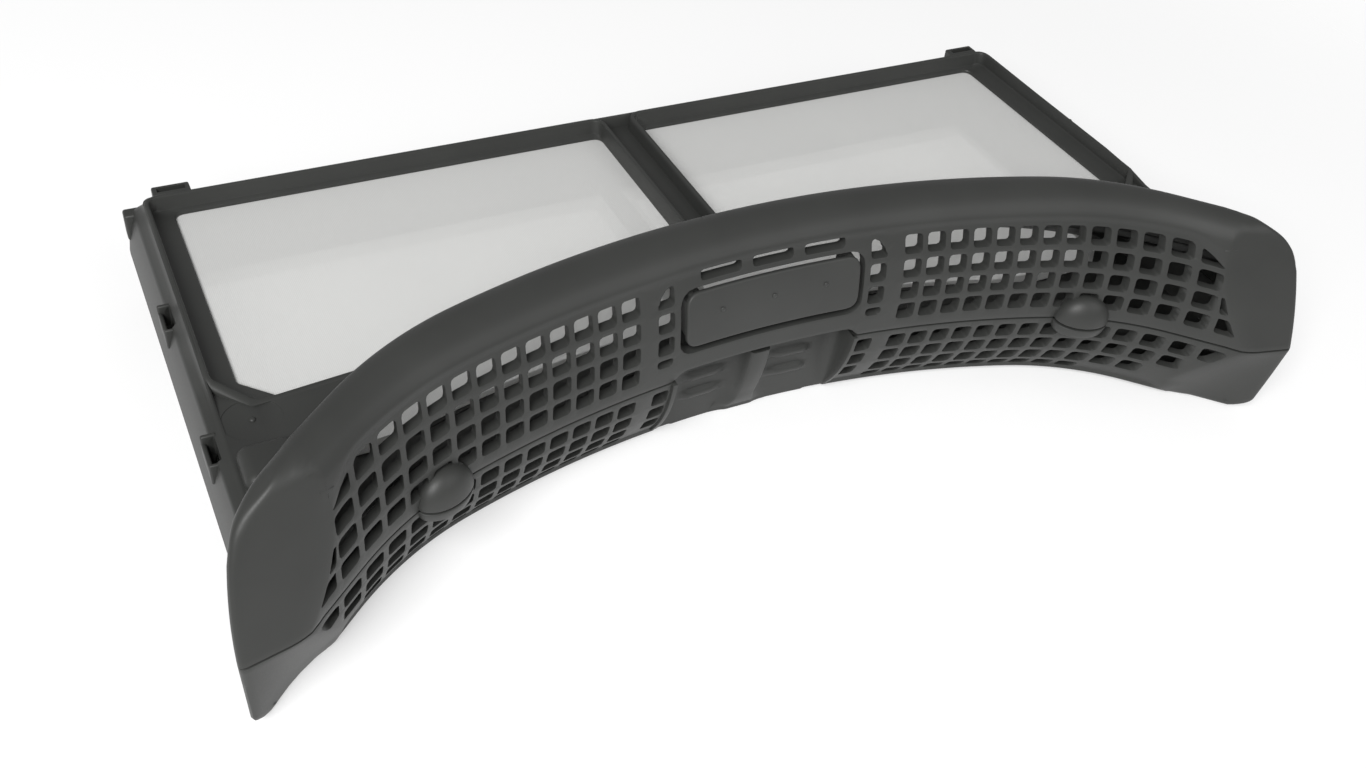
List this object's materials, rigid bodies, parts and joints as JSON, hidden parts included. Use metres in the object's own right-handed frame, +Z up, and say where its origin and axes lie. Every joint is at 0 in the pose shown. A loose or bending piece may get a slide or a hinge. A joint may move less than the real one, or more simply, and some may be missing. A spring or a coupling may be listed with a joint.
{
  "type": "tumble dryer lint filter",
  "caption": "Folding lint filter: framed mesh leaves hinged at the far edge, behind a bowed head with square holes, a release plate and a finger recess.",
  "frame": {"origin": "middle of the base, on the table", "axes": "+X to the right seen from the head's front, +Y from the head to the hinge, +Z up"},
  "size_m": [0.4024, 0.2111, 0.0868],
  "materials": {
    "frame": "fine moulded texture",
    "head": "fine moulded texture",
    "button": "fine moulded texture",
    "mesh": "fine woven mesh"
  },
  "bodies": {
    "lower_half": {"lower_frame": "frame", "lower_grille_left": "head", "lower_grille_right": "head", "finger_recess": "head", "lower_mesh_left": "mesh", "lower_mesh_right": "mesh"},
    "upper_half": {"upper_frame": "frame", "upper_grille": "head", "upper_mesh_left": "mesh", "upper_mesh_right": "mesh"},
    "release_plate": {"release_button": "button"}
  },
  "joints": [
    {"name": "leaf_hinge", "type": "hinge", "parent": "lower_half", "child": "upper_half", "pos_m": [0, 0.10139, 0.02044], "axis": [-1, 0, 0], "range_deg": [0, 120]},
    {"name": "plate_rock", "type": "hinge", "parent": "upper_half", "child": "release_plate", "pos_m": [0, -0.02884, 0.0715], "axis": [1, 0, 0], "range_deg": [0, 8], "stiffness_Nm_per_rad": 0.12, "springref_deg": -5.73}
  ]
}
